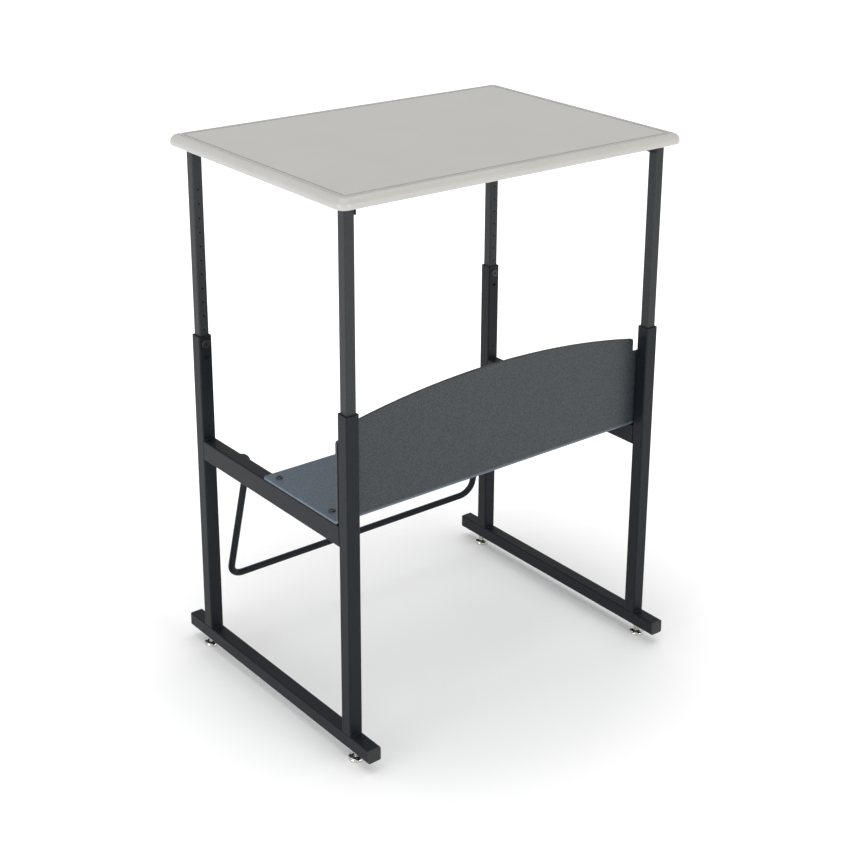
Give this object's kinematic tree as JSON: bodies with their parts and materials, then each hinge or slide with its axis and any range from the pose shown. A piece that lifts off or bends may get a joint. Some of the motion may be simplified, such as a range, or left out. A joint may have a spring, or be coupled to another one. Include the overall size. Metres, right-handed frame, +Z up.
{
  "type": "stand-up desk",
  "caption": "Height-adjustable stand-up desk with a flat moulded top, telescoping square legs, an arched modesty panel with shelf and a swinging footrest bar.",
  "frame": {"origin": "on the floor, under the middle of the frame", "axes": "+Z up; the user stands on the -Y side and looks along +Y, the modesty panel is on the +Y side; +X is the user's right"},
  "size_m": [0.723, 0.576, 0.9858],
  "materials": {
    "moulded_top": "fine satin grain, warm grey beige",
    "charcoal_powder_coat": "finely textured charcoal powder coat on the sliding legs",
    "black_powder_coat": "finely textured charcoal black powder coat",
    "grained_sheet": "fine pebble grain, dark slate grey",
    "black_plastic": "moulded black plastic",
    "black_nylon": "moulded black nylon",
    "black_screws": "black oxide steel",
    "grey_screws": "dark grey painted screw heads",
    "plated_thread": "zinc-plated steel",
    "bright_nickel": "bright nickel plate"
  },
  "bodies": {
    "base_frame": {"outer_leg_front_left": "black_powder_coat", "leg_liner_front_left": "black_plastic", "foot_cap_front_left": "black_plastic", "outer_leg_front_right": "black_powder_coat", "leg_liner_front_right": "black_plastic", "foot_cap_front_right": "black_plastic", "outer_leg_rear_left": "black_powder_coat", "leg_liner_rear_left": "black_plastic", "foot_cap_rear_left": "black_plastic", "outer_leg_rear_right": "black_powder_coat", "leg_liner_rear_right": "black_plastic", "foot_cap_rear_right": "black_plastic", "side_rail_left": "black_powder_coat", "foot_rail_left": "black_powder_coat", "footrest_bush_left": "black_nylon", "side_rail_right": "black_powder_coat", "foot_rail_right": "black_powder_coat", "footrest_bush_right": "black_nylon", "book_shelf": "grained_sheet", "shelf_screws": "grey_screws", "height_screws": "black_screws", "glide_nuts": "plated_thread"},
    "height_frame": {"inner_leg_front_left": "charcoal_powder_coat", "leg_plug_front_left": "black_plastic", "inner_leg_front_right": "charcoal_powder_coat", "leg_plug_front_right": "black_plastic", "inner_leg_rear_left": "charcoal_powder_coat", "leg_plug_rear_left": "black_plastic", "inner_leg_rear_right": "charcoal_powder_coat", "leg_plug_rear_right": "black_plastic", "top_angle_left": "black_powder_coat", "top_angle_right": "black_powder_coat", "desk_top": "moulded_top", "top_screws": "plated_thread"},
    "footrest": {"footrest_bar": "black_powder_coat"},
    "glide_pad_front_left": {"glide_base_front_left": "bright_nickel"},
    "glide_spindle_front_left": {"glide_stem_front_left": "plated_thread"},
    "glide_pad_front_right": {"glide_base_front_right": "bright_nickel"},
    "glide_spindle_front_right": {"glide_stem_front_right": "plated_thread"},
    "glide_pad_rear_left": {"glide_base_rear_left": "bright_nickel"},
    "glide_spindle_rear_left": {"glide_stem_rear_left": "plated_thread"},
    "glide_pad_rear_right": {"glide_base_rear_right": "bright_nickel"},
    "glide_spindle_rear_right": {"glide_stem_rear_right": "plated_thread"}
  },
  "joints": [
    {"name": "height_adjust", "type": "slide", "parent": "base_frame", "child": "height_frame", "axis": [0, 0, 1], "range_m": [-0.2794, 0.0762]},
    {"name": "footrest_swing", "type": "hinge", "parent": "base_frame", "child": "footrest", "pos_m": [0, -0.148, 0.41045], "axis": [1, 0, 0], "range_deg": [-64, 96]},
    {"name": "glide_level_front_left", "type": "slide", "parent": "base_frame", "child": "glide_pad_front_left", "axis": [0, 0, 1], "range_m": [-0.006, 0.003]},
    {"name": "glide_turn_front_left", "type": "hinge", "parent": "glide_pad_front_left", "child": "glide_spindle_front_left", "pos_m": [-0.33, -0.235, 0.02], "axis": [0, 0, 1], "range_deg": [-1729, 865]},
    {"name": "glide_level_front_right", "type": "slide", "parent": "base_frame", "child": "glide_pad_front_right", "axis": [0, 0, 1], "range_m": [-0.006, 0.003]},
    {"name": "glide_turn_front_right", "type": "hinge", "parent": "glide_pad_front_right", "child": "glide_spindle_front_right", "pos_m": [0.33, -0.235, 0.02], "axis": [0, 0, 1], "range_deg": [-1729, 865]},
    {"name": "glide_level_rear_left", "type": "slide", "parent": "base_frame", "child": "glide_pad_rear_left", "axis": [0, 0, 1], "range_m": [-0.006, 0.003]},
    {"name": "glide_turn_rear_left", "type": "hinge", "parent": "glide_pad_rear_left", "child": "glide_spindle_rear_left", "pos_m": [-0.33, 0.235, 0.02], "axis": [0, 0, 1], "range_deg": [-1729, 865]},
    {"name": "glide_level_rear_right", "type": "slide", "parent": "base_frame", "child": "glide_pad_rear_right", "axis": [0, 0, 1], "range_m": [-0.006, 0.003]},
    {"name": "glide_turn_rear_right", "type": "hinge", "parent": "glide_pad_rear_right", "child": "glide_spindle_rear_right", "pos_m": [0.33, 0.235, 0.02], "axis": [0, 0, 1], "range_deg": [-1729, 865]}
  ],
  "couplings": [
    {"joint": "glide_turn_front_left", "follows": "glide_level_front_left", "rad_per_m": 5026.5},
    {"joint": "glide_turn_front_right", "follows": "glide_level_front_right", "rad_per_m": 5026.5},
    {"joint": "glide_turn_rear_left", "follows": "glide_level_rear_left", "rad_per_m": 5026.5},
    {"joint": "glide_turn_rear_right", "follows": "glide_level_rear_right", "rad_per_m": 5026.5}
  ]
}
